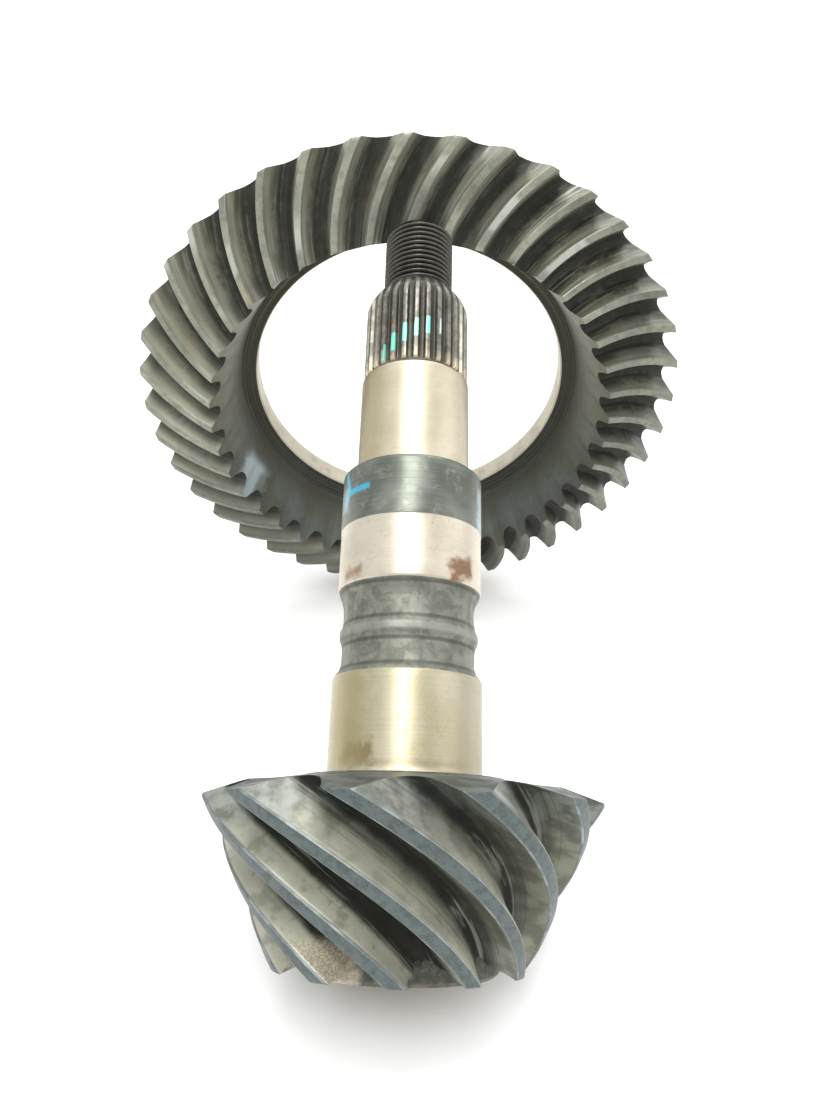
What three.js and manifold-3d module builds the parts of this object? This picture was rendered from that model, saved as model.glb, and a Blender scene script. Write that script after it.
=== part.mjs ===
// Hypoid (offset spiral bevel) ring gear and drive pinion, 41 : 11.
// Two one-piece forgings, in millimetres, +Z up, standing on a table:
// the pinion stands on the edge of its small end and leans back, the ring gear
// stands on the heel tips of two teeth and leans forward over the threaded end.
import * as THREE from 'three';
import Module from 'manifold-3d';

const wasm = await Module();
wasm.setup();
const { Manifold, Mesh } = wasm;

// ---------------------------------------------------------------- driving dimensions (mm, degrees)
const DEG = Math.PI / 180;

// ring gear, in its own frame: z = gear axis, + towards the teeth, z = 0 at the heel tips
const RING = {
  teeth: 41,
  heelTipR: 112.0, heelTipZ: 0.0,
  toeTipR: 82.0, toeTipZ: 14.8,
  heelDepth: 9.6, toeDepth: 7.6,
  heelSpiral: 37, toeSpiral: 15,        // right-hand spiral, degrees
  heelSlot: 3.4, toeSlot: 3.5,          // slot width at the root, normal section
  heelTop: 2.7, toeTop: 2.6,            // topland width, normal section
  stations: 7,
  backZ: -29.0, backR: 98.6,
  boreR: 66.5,
  boltCount: 10, boltCircleR: 83.5, boltD: 10.4, boltDepth: 19,
};

// pinion, in its own frame: z = pinion axis, + towards the thread, z = 0 at the back of the head
const PIN = {
  teeth: 11,
  heelTipR: 52.0, heelTipZ: -5.6,
  toeTipR: 31.5, toeTipZ: -45.4,
  heelDepth: 10.6, toeDepth: 8.0,
  lead: 2.02,                           // left-hand helix on the cone, degrees per mm of axis
  heelSlot: 3.4, toeSlot: 3.0,
  heelTop: 3.6, toeTop: 3.2,
  stations: 10,
  bossR0: 25.4, bossZ0: -37.5, bossR1: 24.4, bossZ1: -45.9,
  headJournalR: 20.65, headJournalEnd: 25.4,
  bandR: 20.33, bandStart: 50.6, bandEnd: 68.0,
  collarR: 20.5, collarEnd: 85.9,
  outerJournalR: 16.65, outerJournalEnd: 118.4,
  splineTeeth: 28, splineR: 16.15, splineRootR: 14.9, splineStart: 119.6, splineEnd: 144.2,
  threadR: 11.1, threadPitch: 1.814, threadStart: 152.0, threadEnd: 176.2,
};

// how the two pieces stand (degrees; azimuth 0 looks along +Y)
const RING_LEAN = 20.9, RING_YAW = 1.2;      // ring axis points this far below the horizontal
const PINION_RISE = 44.4, PINION_YAW = 2.0;  // pinion axis rises this far above the horizontal
const RING_AHEAD = 170.95, RING_SIDE = 0.73;  // ring datum measured from the pinion datum, along Y and X
const RING_PHASE = 2.2, PINION_PHASE = 8.2; // degrees

// ---------------------------------------------------------------- mesh helpers
class Shell {
  constructor() { this.p = []; this.t = []; }
  loop(pts) { const s = this.p.length; for (const q of pts) this.p.push(q); return pts.map((_, i) => s + i); }
  // band between two closed loops; the counts may differ
  band(a, b) {
    const na = a.length, nb = b.length; let i = 0, j = 0;
    while (i < na || j < nb) {
      if (j >= nb || (i < na && (i + 0.5) / na <= (j + 0.5) / nb)) { this.t.push([a[i % na], a[(i + 1) % na], b[j % nb]]); i++; }
      else { this.t.push([a[i % na], b[(j + 1) % nb], b[j % nb]]); j++; }
    }
  }
  fan(a, apex, first) {
    const s = this.p.length; this.p.push(apex);
    for (let i = 0; i < a.length; i++) {
      const j = (i + 1) % a.length;
      this.t.push(first ? [s, a[j], a[i]] : [s, a[i], a[j]]);
    }
  }
  solid() {
    let v = 0;
    for (const [a, b, c] of this.t) {
      const A = this.p[a], B = this.p[b], C = this.p[c];
      v += A[0] * (B[1] * C[2] - B[2] * C[1]) + A[1] * (B[2] * C[0] - B[0] * C[2]) + A[2] * (B[0] * C[1] - B[1] * C[0]);
    }
    const tri = v < 0 ? this.t.map(([a, b, c]) => [a, c, b]) : this.t;
    const m = new Mesh({ numProp: 3, vertProperties: new Float32Array(this.p.flat()), triVerts: new Uint32Array(tri.flat()) });
    m.merge();
    return new Manifold(m);
  }
}
const circle = (r, z, n, a0 = 0) => Array.from({ length: n }, (_, i) => {
  const a = a0 + 2 * Math.PI * i / n; return [r * Math.cos(a), r * Math.sin(a), z];
});
const lerp = (a, b, t) => a + (b - a) * t;

// body of revolution from a closed or axis-to-axis outline [r, z]
function turned(outline, n) {
  const s = new Shell(); let prev = null;
  for (let i = 1; i < outline.length - 1; i++) {
    const l = s.loop(circle(outline[i][0], outline[i][1], n));
    if (prev) s.band(prev, l); else s.fan(l, [0, 0, outline[0][1]], true);
    prev = l;
  }
  s.fan(prev, [0, 0, outline[outline.length - 1][1]], false);
  return s.solid();
}

// one pitch of a tooth, as [angle offset, depth below the tip surface]
function pitchProfile(tipHalf, flanks, depth, pitch) {
  // flanks: [[fraction of depth, right half angle, left half angle], ...] from tip to root
  const right = flanks.map(([f, r]) => [r, f * depth]);
  const left = flanks.map(([f, , l]) => [pitch - l, f * depth]).reverse();
  return [[-tipHalf, 0], [tipHalf, 0], ...right, ...left];
}

// ---------------------------------------------------------------- ring gear
function ringGear() {
  const R = RING, pitch = 2 * Math.PI / R.teeth;
  const len = Math.hypot(R.heelTipR - R.toeTipR, R.toeTipZ - R.heelTipZ);
  const n = [(R.toeTipZ - R.heelTipZ) / len, (R.heelTipR - R.toeTipR) / len];   // outward normal of the face cone (r, z)
  const s = new Shell(), loops = [];
  let ang = 0, last = 0;
  const steps = 40, table = [0];
  for (let i = 1; i <= steps; i++) {
    const t = (i - 0.5) / steps, psi = lerp(R.toeSpiral, R.heelSpiral, t) * DEG, r = lerp(R.toeTipR, R.heelTipR, t);
    ang += Math.tan(psi) * (len / steps) / r; table.push(ang);
  }
  const heelAng = table[steps];
  for (let j = 0; j < R.stations; j++) {
    const t = j / (R.stations - 1), psi = lerp(R.toeSpiral, R.heelSpiral, t) * DEG, c = Math.cos(psi);
    const rt = lerp(R.toeTipR, R.heelTipR, t), zt = lerp(R.toeTipZ, R.heelTipZ, t);
    const depth = lerp(R.toeDepth, R.heelDepth, t), slot = lerp(R.toeSlot, R.heelSlot, t), top = lerp(R.toeTop, R.heelTop, t);
    const at = heelAng - table[Math.round(t * steps)];
    const rr = rt - depth * n[0];
    const base = (2 * Math.PI * rr / R.teeth) * c - slot;
    const w = f => lerp(top, base, f) / 2;
    const half = f => (w(f) - 0.22 * Math.sin(Math.PI * f)) / c / (rt - f * depth * n[0]);
    const prof = pitchProfile(top / 2 / c / rt, [[0.42, half(0.42), half(0.42)], [0.86, half(0.86), half(0.86)], [1, half(1) * 1.04, half(1) * 1.04]], depth, pitch);
    const pts = [];
    for (let k = 0; k < R.teeth; k++) for (const [da, d] of prof) {
      const a = k * pitch + at + da + RING_PHASE * DEG, r = rt - d * n[0], z = zt - d * n[1];
      pts.push([r * Math.cos(a), r * Math.sin(a), z]);
    }
    loops.push({ pts, a0: at + prof[0][0] + RING_PHASE * DEG });
  }
  const idx = loops.map(l => s.loop(l.pts));
  for (let j = 1; j < idx.length; j++) s.band(idx[j - 1], idx[j]);
  // blank below the teeth, heel side round the back to the toe side
  const m = 164, aH = loops[loops.length - 1].a0, aT = loops[0].a0, outline = [
    [101.6, -21.4, 0], [100.6, -25.2, 0.1], [R.backR, R.backZ, 0.2],
    [R.boreR + 1.0, R.backZ, 0.5], [R.boreR, R.backZ + 1.0, 0.55], [R.boreR, -18.3, 0.7],
    [69.4, -17.5, 0.75], [70.6, -15.4, 0.8], [72.9, -14.7, 0.85], [74.9, -6.0, 1],
  ];
  let prev = idx[idx.length - 1];
  for (const [r, z, f] of outline) { const l = s.loop(circle(r, z, m, lerp(aH, aT, f))); s.band(prev, l); prev = l; }
  s.band(prev, idx[0]);
  let body = s.solid();
  // tapped holes in the back face
  const hole = turned([[0, 0], [R.boltD / 2 + 0.8, 0], [R.boltD / 2 + 0.8, 1.0], [R.boltD / 2, 1.8], [R.boltD / 2, R.boltDepth + 1], [0, R.boltDepth + 3.6]].map(([r, z]) => [r, z]), 14);
  const cuts = [];
  for (let k = 0; k < R.boltCount; k++) {
    const a = 2 * Math.PI * (k + 0.5) / R.boltCount;
    cuts.push(hole.translate([R.boltCircleR * Math.cos(a), R.boltCircleR * Math.sin(a), R.backZ - 1]));
  }
  body = body.subtract(Manifold.union(cuts));
  return body;
}

// ---------------------------------------------------------------- drive pinion
function pinionHead() {
  const P = PIN, pitch = 2 * Math.PI / P.teeth, k = P.lead * DEG;
  const run = P.heelTipZ - P.toeTipZ, drop = P.heelTipR - P.toeTipR, dl = Math.hypot(run, drop) / run;
  const nHeel = [0.946, -0.324], nToe = [run, -drop].map(v => v / Math.hypot(run, drop));
  const s = new Shell(), idx = [];
  let a0T = 0, a0H = 0;
  for (let j = 0; j < P.stations; j++) {
    const t = j / (P.stations - 1);                        // 0 toe, 1 heel
    const rt = lerp(P.toeTipR, P.heelTipR, t), zt = lerp(P.toeTipZ, P.heelTipZ, t);
    const depth = lerp(P.toeDepth, P.heelDepth, t), slot = lerp(P.toeSlot, P.heelSlot, t), top = lerp(P.toeTop, P.heelTop, t);
    const nn = [lerp(nToe[0], nHeel[0], t), lerp(nToe[1], nHeel[1], t)];
    const cosAt = r => 1 / Math.hypot(1, r * k / dl);
    const rr = rt - depth * nn[0];
    const base = (2 * Math.PI * rr / P.teeth) * cosAt(rr) - slot;
    const tipHalf = top / 2 / cosAt(rt) / rt;
    const half = (f, share) => {                            // share of the extra width carried by this flank
      const r = rt - f * depth * nn[0], w = top / 2 + (base - top) * share * f - 0.35 * Math.sin(Math.PI * f);
      return w / cosAt(r) / r;
    };
    const A = 0.60, B = 0.40;                               // the flank facing the thread is the flatter one
    const prof = pitchProfile(tipHalf, [[0.3, half(0.3, A), half(0.3, B)], [0.62, half(0.62, A), half(0.62, B)], [0.9, half(0.9, A), half(0.9, B)], [1, half(1, A) * 1.03, half(1, B) * 1.03]], depth, pitch);
    const at = -k * (zt - P.toeTipZ) + PINION_PHASE * DEG;  // towards the heel the tooth turns back
    const pts = [];
    for (let q = 0; q < P.teeth; q++) for (const [da, d] of prof) {
      const a = q * pitch + at + da, r = rt - d * nn[0], z = zt - d * nn[1];
      pts.push([r * Math.cos(a), r * Math.sin(a), z]);
    }
    const l = s.loop(pts); idx.push(l);
    if (j === 0) a0T = at + prof[0][0]; if (j === P.stations - 1) a0H = at + prof[0][0];
    if (j) s.band(idx[j - 1], l);
  }
  const heel = s.loop(circle(36.0, -1.7, 55, a0H)), land = s.loop(circle(27.2, -0.3, 55, a0H)), toe = s.loop(circle(20.5, -40.8, 55, a0T));
  s.band(idx[idx.length - 1], heel);
  s.band(heel, land);
  s.fan(land, [0, 0, -0.3], false);
  s.band(toe, idx[0]);
  s.fan(toe, [0, 0, -40.8], true);
  const boss = turned([[0, P.bossZ0], [P.bossR0, P.bossZ0], [P.bossR1 + 0.3, P.bossZ1 + 0.9], [P.bossR1 - 0.7, P.bossZ1], [5.2, P.bossZ1], [4.4, P.bossZ1 + 0.9], [0, P.bossZ1 + 7.6]].reverse(), 48);
  return s.solid().add(boss);
}

function pinionShaft() {
  const P = PIN;
  const plain = turned([
    [0, -3], [26.9, -3], [26.9, -0.3], [26.6, 0.0], [21.9, 0.0], [21.0, 0.35], [P.headJournalR, 1.3],
    [P.headJournalR, P.headJournalEnd], [19.9, 26.5], [19.2, 27.2],
    [18.5, 29.4], [18.4, 33.4], [18.7, 35.2], [19.35, 36.5], [19.35, 38.2], [18.7, 39.6], [18.4, 41.6], [18.4, 45.6],
    [18.9, 47.6], [19.7, 49.2], [19.9, 50.0], [P.bandR, P.bandStart],
    [P.bandR, P.bandEnd], [P.collarR, P.bandEnd + 0.15], [P.collarR, P.collarEnd - 1.0], [19.7, P.collarEnd],
    [17.4, P.collarEnd + 0.05], [P.outerJournalR, P.collarEnd + 0.9],
    [P.outerJournalR, P.outerJournalEnd - 0.5], [16.1, P.outerJournalEnd], [15.6, P.splineStart - 0.4], [14.6, P.splineStart + 1],
    [14.6, 142.0], [13.4, 146.8], [11.6, 151.0], [10.1, 151.7], [10.1, P.threadEnd - 1.7], [8.5, P.threadEnd], [4.4, P.threadEnd], [3.6, P.threadEnd - 0.9], [0, P.threadEnd - 7],
  ], 44);
  // straight-sided spline with a chamfered end
  const n = P.splineTeeth, s = new Shell(), sec = (ro, rr, z) => {
    const pts = [], da = 2 * Math.PI / n;
    for (let i = 0; i < n; i++) for (const [f, r] of [[-0.17, ro], [0.17, ro], [0.30, rr], [0.70, rr]]) {
      const a = (i + f) * da; pts.push([r * Math.cos(a), r * Math.sin(a), z]);
    }
    return s.loop(pts);
  };
  const c0 = sec(15.2, 14.9, P.splineStart - 1.2), c1 = sec(P.splineR, P.splineRootR, P.splineStart + 0.3),
    c2 = sec(P.splineR, P.splineRootR, P.splineEnd), c3 = sec(14.8, 14.4, 147.4), c4 = sec(12.2, 12.2, 151.1);
  s.fan(c0, [0, 0, P.splineStart - 1.2], true);
  s.band(c0, c1); s.band(c1, c2); s.band(c2, c3); s.band(c3, c4);
  s.fan(c4, [0, 0, 151.1], false);
  // single-start thread, crest and root lines running up one helix, faded out at both ends
  const h = new Shell(), m = 20, turns = Math.floor((P.threadEnd - 1.4 - P.threadStart) / P.threadPitch) , rows = 2 * turns + 1;
  const depth = 0.95, grid = [];
  for (let j = 0; j < rows; j++) {
    const row = [];
    for (let i = 0; i < m; i++) {
      const z = P.threadStart + (j / 2 + i / m) * P.threadPitch;
      const fade = Math.min(1, (z - P.threadStart) / 1.6, (P.threadStart + (turns + 1) * P.threadPitch - z) / 1.6);
      const r = j % 2 ? P.threadR : P.threadR - depth * Math.max(0, fade), a = 2 * Math.PI * i / m;
      row.push([r * Math.cos(a), r * Math.sin(a), z]);
    }
    grid.push(h.loop(row));
  }
  const V = (j, i) => i < m ? grid[j][i] : grid[j + 2][i - m];
  for (let j = 0; j + 1 < rows; j++) for (let i = 0; i < m; i++) {
    if (i + 1 === m && j + 3 >= rows) continue;
    h.t.push([V(j, i), V(j, i + 1), V(j + 1, i + 1)], [V(j, i), V(j + 1, i + 1), V(j + 1, i)]);
  }
  const low = [...grid[0], grid[2][0], grid[1][0]];
  const high = [...grid[rows - 1]];
  const tail = [grid[rows - 2][m - 1], grid[rows - 3][m - 1]];
  const hi = [...high, tail[0], tail[1]];
  h.fan(low, [0, 0, P.threadStart - 0.6], true);
  h.fan(hi, [0, 0, P.threadEnd - 0.5], false);
  return { plain, spline: s.solid(), thread: h.solid() };
}

function pinion() {
  const { plain, spline, thread } = pinionShaft();
  const cone = turned([[0, PIN.threadEnd - 8], [12, PIN.threadEnd - 8], [12.0, PIN.threadEnd - 3.4], [8.8, PIN.threadEnd], [0, PIN.threadEnd]], 44);
  const low = turned([[0, PIN.threadStart - 1], [12, PIN.threadStart - 1], [12, PIN.threadEnd - 8], [0, PIN.threadEnd - 8]], 44);
  const drill = turned([[0, PIN.threadEnd - 7], [3.6, PIN.threadEnd - 0.9], [4.4, PIN.threadEnd], [4.4, PIN.threadEnd + 2], [0, PIN.threadEnd + 2]], 24);
  return pinionHead().add(plain).add(spline).add(thread.intersect(cone.add(low))).subtract(drill);
}

// ---------------------------------------------------------------- placing
function axisFrame(dir) {
  const z = new THREE.Vector3(...dir).normalize();
  const x = new THREE.Vector3(1, 0, 0); x.addScaledVector(z, -x.dot(z)).normalize();
  const y = new THREE.Vector3().crossVectors(z, x);
  return new THREE.Matrix4().makeBasis(x, y, z);
}
function toGeometry(solid, matrix) {
  const m = solid.getMesh(), g = new THREE.BufferGeometry(), pos = new Float32Array(m.numVert * 3);
  for (let i = 0; i < m.numVert; i++) for (let c = 0; c < 3; c++) pos[3 * i + c] = m.vertProperties[m.numProp * i + c];
  g.setAttribute('position', new THREE.BufferAttribute(pos, 3));
  g.setIndex(new THREE.BufferAttribute(Uint32Array.from(m.triVerts), 1));
  g.applyMatrix4(matrix);
  g.computeBoundingBox();
  return g;
}

const ringDir = [Math.sin(RING_YAW * DEG) * Math.cos(RING_LEAN * DEG), -Math.cos(RING_YAW * DEG) * Math.cos(RING_LEAN * DEG), -Math.sin(RING_LEAN * DEG)];
const pinDir = [Math.sin(PINION_YAW * DEG) * Math.cos(PINION_RISE * DEG), Math.cos(PINION_YAW * DEG) * Math.cos(PINION_RISE * DEG), Math.sin(PINION_RISE * DEG)];
const ringM = axisFrame(ringDir).setPosition(RING_SIDE, RING_AHEAD, 0);
const pinM = axisFrame(pinDir);

const ringGeo = toGeometry(ringGear(), ringM);
const pinGeo = toGeometry(pinion(), pinM);
// both pieces rest on the table
ringGeo.translate(0, 0, -ringGeo.boundingBox.min.z);
pinGeo.translate(0, 0, -pinGeo.boundingBox.min.z);
ringGeo.computeBoundingBox(); pinGeo.computeBoundingBox();
const box = ringGeo.boundingBox.clone().union(pinGeo.boundingBox);
const shift = [-(box.min.x + box.max.x) / 2, -(box.min.y + box.max.y) / 2, 0];
ringGeo.translate(...shift); pinGeo.translate(...shift);

const part = new THREE.Group();
part.name = 'bevel_gear_pair';
const add = (name, geo, material) => {
  const flat = geo.toNonIndexed(); flat.computeVertexNormals();
  const mesh = new THREE.Mesh(flat, material); mesh.name = name; part.add(mesh);
};
add('ring_gear', ringGeo, new THREE.MeshStandardMaterial({ color: 0x5f625c, metalness: 0.85, roughness: 0.48 }));
add('drive_pinion', pinGeo, new THREE.MeshStandardMaterial({ color: 0x8f8c80, metalness: 0.9, roughness: 0.38 }));

export default part;
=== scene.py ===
import math
import bpy
import numpy as np
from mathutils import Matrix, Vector


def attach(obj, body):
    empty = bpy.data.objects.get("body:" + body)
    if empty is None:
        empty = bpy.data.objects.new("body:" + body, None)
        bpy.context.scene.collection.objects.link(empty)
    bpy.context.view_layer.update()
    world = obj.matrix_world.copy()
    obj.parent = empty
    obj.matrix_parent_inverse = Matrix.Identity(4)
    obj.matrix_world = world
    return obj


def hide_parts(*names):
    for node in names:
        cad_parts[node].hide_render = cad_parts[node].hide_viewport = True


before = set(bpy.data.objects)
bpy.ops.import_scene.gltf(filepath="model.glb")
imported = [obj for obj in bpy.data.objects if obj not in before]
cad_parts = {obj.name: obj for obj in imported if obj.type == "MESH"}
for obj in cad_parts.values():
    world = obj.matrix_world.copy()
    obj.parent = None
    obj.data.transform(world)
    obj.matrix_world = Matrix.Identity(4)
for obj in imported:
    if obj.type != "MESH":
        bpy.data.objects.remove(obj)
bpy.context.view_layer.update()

MM = 0.001
DEG = math.pi / 180
TAU = 2 * math.pi


# ------------------------------------------------------------------ local frames of the two gears
def axis_frame(d, origin):
    z = np.array(d, float); z /= np.linalg.norm(z)
    x = np.array([1.0, 0, 0]); x -= z * x.dot(z); x /= np.linalg.norm(x)
    return np.stack([x, np.cross(z, x), z], 1), np.array(origin, float)


LEAN, YAW = 20.9 * DEG, 1.2 * DEG
RISE, PYAW = 44.4 * DEG, 2.0 * DEG
RING_F = axis_frame([math.sin(YAW) * math.cos(LEAN), -math.cos(YAW) * math.cos(LEAN), -math.sin(LEAN)], [0.0, 81.542, 104.479])
PIN_F = axis_frame([math.sin(PYAW) * math.cos(RISE), math.cos(PYAW) * math.cos(RISE), math.sin(RISE)], [-0.73, -89.408, 53.868])


def lerp(a, b, t):
    return a + (b - a) * t


# ------------------------------------------------------------------ mesh building
def grid_mesh(name, loops, f, attrs, face_mat, mats, closed=False, sharp=32, body="ring_gear"):
    """loops: (J, M, 3) local mm. closed: the last loop joins the first; otherwise both ends are capped on the axis."""
    J, M, _ = loops.shape
    P = loops.reshape(-1, 3)
    cap = []
    if not closed:
        a, b = loops[0].mean(0), loops[-1].mean(0)
        P = np.vstack([P, a, b])
        cap = [J * M, J * M + 1]
    R, O = f
    W = (P @ R.T + O) * MM
    j = np.arange(J if closed else J - 1)[:, None]
    i = np.arange(M)[None, :]
    j1, i1 = (j + 1) % J, (i + 1) % M
    quads = np.stack([j * M + i, j * M + i1, j1 * M + i1, j1 * M + i], -1).reshape(-1, 4)
    qm = np.repeat(np.asarray(face_mat), M)
    faces = [tuple(q) for q in quads.tolist()]
    fmat = qm.tolist()
    if cap:
        for m in range(M):
            faces.append((cap[0], (m + 1) % M, m)); fmat.append(int(face_mat[0]))
            b0 = (J - 1) * M
            faces.append((b0 + m, b0 + (m + 1) % M, cap[1])); fmat.append(int(face_mat[-1]))
    # outward orientation
    vol = 0.0
    for q in (quads[:, [0, 1, 2]], quads[:, [0, 2, 3]]):
        A, B, C = W[q[:, 0]], W[q[:, 1]], W[q[:, 2]]
        vol += np.einsum("ij,ij->i", A - W.mean(0), np.cross(B - W.mean(0), C - W.mean(0))).sum()
    if vol < 0:
        faces = [fc[::-1] for fc in faces]
    me = bpy.data.meshes.new(name)
    me.from_pydata(W.tolist(), [], faces)
    me.update()
    me.polygons.foreach_set("material_index", np.array(fmat, np.int32))
    loc = me.attributes.new("loc", "FLOAT_VECTOR", "POINT")
    loc.data.foreach_set("vector", P.astype(np.float32).ravel())
    for k, v in attrs.items():
        v = np.asarray(v, np.float32).reshape(-1)
        if len(v) < len(P):
            v = np.concatenate([v, np.full(len(P) - len(v), v[0], np.float32)])
        at = me.attributes.new(k, "FLOAT", "POINT")
        at.data.foreach_set("value", v)
    for m in mats:
        me.materials.append(m)
    me.polygons.foreach_set("use_smooth", np.ones(len(me.polygons), bool))
    me.set_sharp_from_angle(angle=sharp * DEG)
    me.validate()
    o = bpy.data.objects.new(name, me)
    bpy.context.scene.collection.objects.link(o)
    return o


def soften(outline, radius, n=3):
    """rounds each inner corner of an [r, z] outline with a small arc."""
    pts = [np.array(p[:2], float) for p in outline]
    out = [pts[0]]
    for k in range(1, len(pts) - 1):
        a, b, c = pts[k - 1], pts[k], pts[k + 1]
        la, lc = np.linalg.norm(a - b), np.linalg.norm(c - b)
        r = min(radius, la * 0.4, lc * 0.4)
        p, q = b + (a - b) / max(la, 1e-9) * r, b + (c - b) / max(lc, 1e-9) * r
        for m in range(n + 1):
            t = m / n
            out.append((1 - t) ** 2 * p + 2 * t * (1 - t) * b + t * t * q)
    out.append(pts[-1])
    return out


def subdivide(pts, step):
    out = [pts[0]]
    for a, b in zip(pts[:-1], pts[1:]):
        n = max(1, int(math.ceil(np.linalg.norm(np.array(b) - np.array(a)) / step)))
        for k in range(1, n + 1):
            out.append(lerp(np.array(a, float), np.array(b, float), k / n))
    return out


# ------------------------------------------------------------------ materials
class Net:
    def __init__(self, name):
        self.m = bpy.data.materials.new(name)
        self.m.use_nodes = True
        self.t = self.m.node_tree
        self.t.nodes.clear()
        self.out = self.t.nodes.new("ShaderNodeOutputMaterial")
        self.b = self.t.nodes.new("ShaderNodeBsdfPrincipled")
        self.t.links.new(self.b.outputs[0], self.out.inputs[0])

    def node(self, kind, **kw):
        n = self.t.nodes.new(kind)
        for k, v in kw.items():
            setattr(n, k, v)
        return n

    def put(self, sock, v):
        if isinstance(v, bpy.types.NodeSocket):
            self.t.links.new(v, sock)
        elif isinstance(v, (tuple, list)) and len(v) == 3 and sock.type == "RGBA":
            sock.default_value = (*v, 1)
        else:
            sock.default_value = v

    def math(self, op, a, b=None, c=None, clamp=False):
        n = self.node("ShaderNodeMath", operation=op, use_clamp=clamp)
        self.put(n.inputs[0], a)
        if b is not None:
            self.put(n.inputs[1], b)
        if c is not None:
            self.put(n.inputs[2], c)
        return n.outputs[0]

    def attr(self, name):
        return self.node("ShaderNodeAttribute", attribute_name=name).outputs["Fac"]

    def loc(self, scale=(1, 1, 1)):
        a = self.node("ShaderNodeAttribute", attribute_name="loc").outputs["Vector"]
        n = self.node("ShaderNodeMapping")
        n.inputs["Scale"].default_value = scale
        self.t.links.new(a, n.inputs["Vector"])
        return n.outputs[0]

    def xyz(self):
        a = self.node("ShaderNodeAttribute", attribute_name="loc").outputs["Vector"]
        s = self.node("ShaderNodeSeparateXYZ")
        self.t.links.new(a, s.inputs[0])
        return s.outputs

    def noise(self, scale, detail=4, rough=0.55, vec=None, dist=0.0):
        n = self.node("ShaderNodeTexNoise")
        self.put(n.inputs["Vector"], vec if vec is not None else self.loc())
        n.inputs["Scale"].default_value = scale
        n.inputs["Detail"].default_value = detail
        n.inputs["Roughness"].default_value = rough
        n.inputs["Distortion"].default_value = dist
        return n.outputs["Fac"]

    def streak(self, across, per_tooth, along, detail=3, rough=0.5):
        """noise drawn out along each tooth, different from one tooth to the next."""
        c = self.node("ShaderNodeCombineXYZ")
        self.put(c.inputs[0], self.math("ADD", self.math("MULTIPLY", self.attr("dep"), across), self.math("MULTIPLY", self.attr("side"), 1.3)))
        self.put(c.inputs[1], self.math("MULTIPLY", self.attr("tid"), per_tooth))
        self.put(c.inputs[2], self.math("MULTIPLY", self.attr("sta"), along))
        return self.noise(1.0, detail, rough, c.outputs[0])

    def voro(self, scale, vec=None):
        n = self.node("ShaderNodeTexVoronoi")
        self.put(n.inputs["Vector"], vec if vec is not None else self.loc())
        n.inputs["Scale"].default_value = scale
        return n.outputs["Distance"]

    def step(self, v, a, b):
        """0 below a, 1 above b, smooth (a may be above b)."""
        n = self.node("ShaderNodeMapRange", interpolation_type="SMOOTHSTEP")
        self.put(n.inputs["Value"], v)
        n.inputs["From Min"].default_value = min(a, b)
        n.inputs["From Max"].default_value = max(a, b)
        n.inputs["To Min"].default_value = 0 if a < b else 1
        n.inputs["To Max"].default_value = 1 if a < b else 0
        return n.outputs[0]

    def mix(self, f, a, b, blend="MIX"):
        n = self.node("ShaderNodeMix", data_type="RGBA", blend_type=blend)
        self.put(n.inputs[0], f)
        self.put(n.inputs[6], a if not isinstance(a, (tuple, list)) else (*a, 1))
        self.put(n.inputs[7], b if not isinstance(b, (tuple, list)) else (*b, 1))
        return n.outputs[2]

    def mixf(self, f, a, b):
        n = self.node("ShaderNodeMix", data_type="FLOAT")
        self.put(n.inputs[0], f); self.put(n.inputs[2], a); self.put(n.inputs[3], b)
        return n.outputs[0]

    def bump(self, height, strength, dist=0.0004, normal=None):
        n = self.node("ShaderNodeBump")
        self.put(n.inputs["Height"], height)
        n.inputs["Strength"].default_value = strength
        n.inputs["Distance"].default_value = dist
        if normal is not None:
            self.t.links.new(normal, n.inputs["Normal"])
        return n.outputs[0]

    def done(self, color, rough, metal, normal=None):
        self.put(self.b.inputs["Base Color"], color)
        self.put(self.b.inputs["Roughness"], rough)
        self.put(self.b.inputs["Metallic"], metal)
        if normal is not None:
            self.t.links.new(normal, self.b.inputs["Normal"])
        return self.m

    def dab(self, u0, z0, hu, hz, slant, radius, edge=0.9, wobble=1.2):
        """soft-edged painted dab on a turned surface, centred u0 mm round from the near line and z0 mm along the axis."""
        x, y, z = self.xyz()
        u = self.math("MULTIPLY", self.math("ARCTAN2", x, self.math("MULTIPLY", y, -1.0)), radius)
        du, dz = self.math("SUBTRACT", u, u0), self.math("SUBTRACT", z, z0)
        c, s = math.cos(slant * DEG), math.sin(slant * DEG)
        a = self.math("ADD", self.math("MULTIPLY", du, c), self.math("MULTIPLY", dz, s))
        b = self.math("SUBTRACT", self.math("MULTIPLY", dz, c), self.math("MULTIPLY", du, s))
        w = self.math("MULTIPLY", self.math("SUBTRACT", self.noise(0.35, 4, 0.6), 0.5), wobble * 2)
        ma = self.step(self.math("ADD", self.math("ABSOLUTE", a), w), hu + edge / 2, hu - edge / 2)
        mb = self.step(self.math("ADD", self.math("ABSOLUTE", b), w), hz + edge / 2, hz - edge / 2)
        return self.math("MULTIPLY", ma, mb)


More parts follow.
